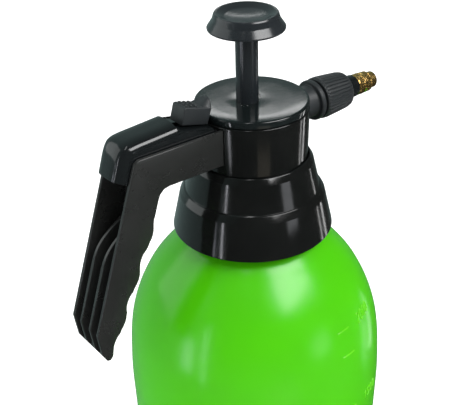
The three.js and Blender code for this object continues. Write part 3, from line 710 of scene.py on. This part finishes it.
def lock():
    """The lock slider with its nine grip bumps, and the keel that holds it in the deck's slot."""
    bm = bmesh.new()
    side = [(LOCK_HALF, 0.5), (LOCK_HALF - 0.07, 0.26), (LOCK_HALF - 0.25, 0.08),
            (LOCK_HALF - 0.5, 0)]
    slices = [(-y, inset) for y, inset in side]
    slices += [(y, 0) for y in (-3.2, -2.2, -1.1, 0, 1.1, 2.2, 3.2)]
    slices += [(y, inset) for y, inset in reversed(side)]
    rows = []
    for y, inset in slices:
        row = [(x, y, z) for x, z in lock_profile(y, inset)]
        rows.append([*row, row[0]])
    add_form(bm, rows)
    bump = soften([(0, 7.7), (0.9, 7.8), (0.7, 8.75, 0.4), (0, 8.9)], 0.2)
    for x in (-4.9, -2.6, -0.3):
        for y in (-2.5, 0, 2.5):
            add_lathe(bm, bump, 16, centre=(x, y, 0))
    keel = [(-4.3, -4.2), (-1.7, -4.2), (-1.7, 1), (-4.3, 1)]
    add_slab(bm, keel, -1.5, 1.5, 0)
    foot = [(-4.3, -4.3), (-1.7, -4.3), (-1.7, -3.1), (-4.3, -3.1)]
    add_slab(bm, foot, -3.2, 3.2, 0)
    turn = Matrix.Rotation(-DECK_ANGLE, 4, "Y")
    bm.transform(Matrix.Translation(LOCK_AT) @ turn)
    finish_mesh("lock_slider_shown", bm, BLACK_MATT, "lock", ["lock_slider"], 35,
                COLLAR_Z)


# ---------------------------------------------------------------- nozzle


FLUTES = 36
FLUTE_DEPTH = 0.55
FLUTED_R = 7.4  # only what is outside this radius is fluted
FLUTES_START = 38.6
FLUTES_END = 55.0
KNURL_TEETH = 24
KNURL_DEPTH = 0.2
KNURLED_R = 4.6
KNURL_RINGS = ((62.3, 65.3), (66.9, 69.7))


def fluted(r, h, a):
    """The nut's radius: flutes that fade in at its foot and out at its shoulder."""
    if r < FLUTED_R or h < FLUTES_START:
        return r
    fade = min(1, (h - FLUTES_START) / 0.8) * min(1, max(0, (FLUTES_END - h) / 1.6))
    return r - FLUTE_DEPTH * fade * max(0, math.cos(FLUTES * a)) ** 0.8


def knurled(r, h, a):
    """The brass tip's radius, with teeth on its two rings."""
    for low, high in KNURL_RINGS:
        if r > KNURLED_R and low <= h <= high:
            return r - KNURL_DEPTH * (0.5 + 0.5 * math.cos(KNURL_TEETH * a))
    return r


def nozzle():
    """The outlet stub with its rim, the fluted nut, the stem and the knurled brass tip. Lengths
    run along X from the head's axis."""
    stub = soften([
        (0, 18.6), (1.6, 18.6), (1.6, 23.2), (5, 23.2), (5, 24.6), (7.3, 24.8), (7.3, 34.2, 0.8),
        (9.1, 34.3, 0.5), (9.45, 34.9, 0.4), (9.45, 36.5, 0.3), (9.1, 36.7), (6.8, 36.7),
        (6.8, 48), (0, 48),
    ], 0.1)
    turned_piece("outlet_stub_shown", stub, BLACK_MATT, "head", ["outlet_stub"],
                 96, "x")
    nut = soften([
        (7.2, 38.1), (9.2, 38.1, 0.3), (9.75, 38.9, 0.3), (9.8, 41), (9.35, 46.6), (8.8, 52.6, 2),
        (8.3, 54.6, 1), (7.0, 55.7, 0.4), (5.6, 55.8), (5.6, 51.8), (7.2, 51.8), (7.2, 38.1),
    ], 0.3, steps=6)
    turned_piece("nozzle_nut_shown", divided(nut, 0.7, FLUTED_R), BLACK_MATT, "nozzle_ring",
                 ["nozzle_nut"], 12 * FLUTES, "x", sharp=50, radius_at=fluted)
    stem = soften([
        (1.3, 49.8), (6.6, 49.8), (6.6, 51.4), (5.3, 51.4), (5.3, 61.1, 0.3), (4.9, 61.4, 0.2),
        (3.1, 61.4), (3.1, 63.4), (2.4, 63.4), (2.4, 64.8), (3.1, 64.8), (3.1, 67.6),
        (1.3, 67.6), (1.3, 49.8),
    ], 0.1)
    turned_piece("nozzle_stem_shown", stem, BLACK_TRIGGER, "head", ["nozzle_stem"],
                 72, "x")
    tip = soften([
        (3.4, 61.7), (4.9, 61.7, 0.2), (5.1, 62.2, 0.2), (5.1, 65.4, 0.2), (4.5, 65.8, 0.1),
        (4.5, 66.4, 0.1), (4.95, 66.8, 0.2), (4.85, 69.8, 0.2), (3.95, 70.3, 0.2),
        (3.9, 73.6, 0.3), (3.6, 74, 0.15), (1.9, 74, 0.15), (0.9, 73.2), (0.9, 72.4), (3.4, 72),
        (3.4, 61.7),
    ], 0.1)
    turned_piece("brass_tip_shown", divided(tip, 0.5), BRASS, "tip", ["brass_tip"], 352,
                 "x", sharp=50, radius_at=knurled)


tank()
volume_marks()
collar()
head_body()
head_lid()
pump()
trigger()
lock()
nozzle()

# ---------------------------------------------------------------- CAD nodes that stay as they are

KEPT = {
    "head_gasket": RUBBER, "dip_tube": NATURAL, "strainer": NATURAL, "outlet_hose": NATURAL,
    "rod_bush": BLACK_SATIN, "pump_barrel": BLACK_SATIN, "barrel_cap": BLACK_SATIN,
    "check_valve": RUBBER, "piston": BLACK_SATIN, "piston_seal": RUBBER, "valve_stem": STEEL,
    "valve_seal": RUBBER, "valve_gland": BLACK_SATIN, "gland_oring": RUBBER,
    "valve_spring": STEEL, "trigger_spring": STEEL, "nozzle_gasket": RUBBER,
    "tip_oring": RUBBER, "swirl_core": BRASS,
}
for node, material in KEPT.items():
    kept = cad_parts[node]
    kept.data.materials.clear()
    kept.data.materials.append(material)
    kept.data.shade_smooth()
    kept.data.set_sharp_from_angle(angle=math.radians(40))

# ---------------------------------------------------------------- floor, light and camera

CAMERA_AT = Vector((-0.24798, -0.31796, 0.47193))
LOOK_AT = Vector((0.00724, 0.03150, 0.22144))
CAMERA_ROLL = 1.6634
FLOOR_HALF = 6
FLOOR_Z = -0.0005
LIGHTS_AIM = Vector((0, 0, 0.24))
WHITE = (1, 1, 1)
COOL = (0.93, 0.95, 1)
COOLER = (0.92, 0.93, 1)
LAVENDER = (0.86, 0.88, 1)
WARM = (1, 0.88, 0.7)
# Name, azimuth and elevation seen from the head, distance, width, height, power, colour.
# Azimuth 0 is towards -Y and 90 towards +X. The narrow ones are there for their reflections.
LIGHTS = (
    ("key", 20, 46, 1.1, 0.8, 0.5, 12, WHITE),
    ("back", 141, 28.6, 1.5, 0.34, 0.08, 0.36, WHITE),
    ("fill", -128, 24, 1.6, 1.7, 1.3, 8, WHITE),
    ("top", -50, 70, 1.2, 0.09, 0.8, 1.0, WHITE),
    ("left_strip", -81, -6, 1.0, 0.03, 0.7, 0.8, COOLER),
    ("left_window", -96, -10, 1.0, 0.16, 0.36, 0.9, LAVENDER),
    ("front_window", 21, -4, 1.0, 0.30, 0.22, 0.45, COOL),
    ("right_strip", 74, -25, 1.0, 0.03, 0.35, 0.2, WHITE),
    ("right_edge", 86, -25, 1.0, 0.05, 0.35, 0.3, WHITE),
    ("low_card", -14, -30, 1.0, 0.4, 0.3, 0.16, WARM),
)


def floor_material():
    """Near white, and bright enough by itself to stay so in the shade."""
    n = Nodes("floor_pale")
    n.link(n.blend(n.noise(3, 2), (0.9, 0.9, 0.9), (0.93, 0.93, 0.93)),
           n.shader.inputs["Base Color"])
    n.shader.inputs["Roughness"].default_value = 0.9
    n.shader.inputs["Specular IOR Level"].default_value = 0.0
    n.shader.inputs["Emission Color"].default_value = (1, 1, 1, 1)
    n.shader.inputs["Emission Strength"].default_value = 0.55
    return n.material


def floor():
    """A plain floor. The gloss doesn't mirror it, because it would turn the black parts pale."""
    bm = bmesh.new()
    bmesh.ops.create_grid(bm, x_segments=24, y_segments=24, size=FLOOR_HALF)
    mesh = bpy.data.meshes.new("floor")
    bm.to_mesh(mesh)
    bm.free()
    made = bpy.data.objects.new("floor", mesh)
    made.location.z = FLOOR_Z
    mesh.materials.append(floor_material())
    bpy.context.scene.collection.objects.link(made)
    made.visible_glossy = False


def softbox(name, azimuth, elevation, distance, width, height, power, colour):
    """An area light that faces the head."""
    a, e = math.radians(azimuth), math.radians(elevation)
    towards = Vector((math.sin(a) * math.cos(e), -math.cos(a) * math.cos(e), math.sin(e)))
    data = bpy.data.lights.new(name, "AREA")
    data.shape = "RECTANGLE"
    data.size, data.size_y = width, height
    data.energy = power
    data.color = colour
    light = bpy.data.objects.new(name, data)
    light.location = LIGHTS_AIM + towards * distance
    light.rotation_mode = "QUATERNION"
    light.rotation_quaternion = (-towards).to_track_quat("-Z", "Y")
    light.visible_camera = False
    bpy.context.scene.collection.objects.link(light)


def studio():
    """Soft white light all round for matt faces. Reflections see a dark room that is brighter
    behind the object."""
    world = bpy.data.worlds.new("studio")
    world.use_nodes = True
    tree = world.node_tree
    tree.nodes.clear()
    out = tree.nodes.new("ShaderNodeOutputWorld")
    mix = tree.nodes.new("ShaderNodeMixShader")
    path = tree.nodes.new("ShaderNodeLightPath")
    soft = tree.nodes.new("ShaderNodeBackground")
    soft.inputs["Color"].default_value = (1, 1, 1, 1)
    soft.inputs["Strength"].default_value = 0.56
    room = tree.nodes.new("ShaderNodeBackground")
    coord = tree.nodes.new("ShaderNodeTexCoord")
    facing = tree.nodes.new("ShaderNodeVectorMath")
    facing.operation = "DOT_PRODUCT"
    facing.inputs[1].default_value = (-0.25, 0.93, 0.25)
    ramp = tree.nodes.new("ShaderNodeValToRGB")
    ramp.color_ramp.elements[0].position = 0.45
    ramp.color_ramp.elements[0].color = (0.05, 0.055, 0.05, 1)
    ramp.color_ramp.elements[1].position = 0.97
    ramp.color_ramp.elements[1].color = (0.30, 0.42, 0.41, 1)
    shift = tree.nodes.new("ShaderNodeMath")
    shift.operation = "MULTIPLY_ADD"
    shift.inputs[1].default_value = 0.5
    shift.inputs[2].default_value = 0.5
    tree.links.new(coord.outputs["Generated"], facing.inputs[0])
    tree.links.new(facing.outputs["Value"], shift.inputs[0])
    tree.links.new(shift.outputs[0], ramp.inputs["Fac"])
    tree.links.new(ramp.outputs["Color"], room.inputs["Color"])
    tree.links.new(path.outputs["Is Glossy Ray"], mix.inputs["Fac"])
    tree.links.new(soft.outputs[0], mix.inputs[1])
    tree.links.new(room.outputs[0], mix.inputs[2])
    tree.links.new(mix.outputs[0], out.inputs["Surface"])
    bpy.context.scene.world = world
    for light in LIGHTS:
        softbox(*light)


def camera():
    """The photograph's camera."""
    data = bpy.data.cameras.new("camera")
    data.lens = 80
    data.sensor_width = 36
    data.clip_start = 0.01
    made = bpy.data.objects.new("camera", data)
    made.location = CAMERA_AT
    made.rotation_mode = "QUATERNION"
    towards = (LOOK_AT - CAMERA_AT).normalized()
    level = towards.to_track_quat("-Z", "Y")
    made.rotation_quaternion = Matrix.Rotation(
        math.radians(CAMERA_ROLL), 3, towards).to_quaternion() @ level
    bpy.context.scene.collection.objects.link(made)
    bpy.context.scene.camera = made


floor()
studio()
camera()
bpy.context.scene.view_settings.view_transform = "Standard"

bpy.context.view_layer.update()
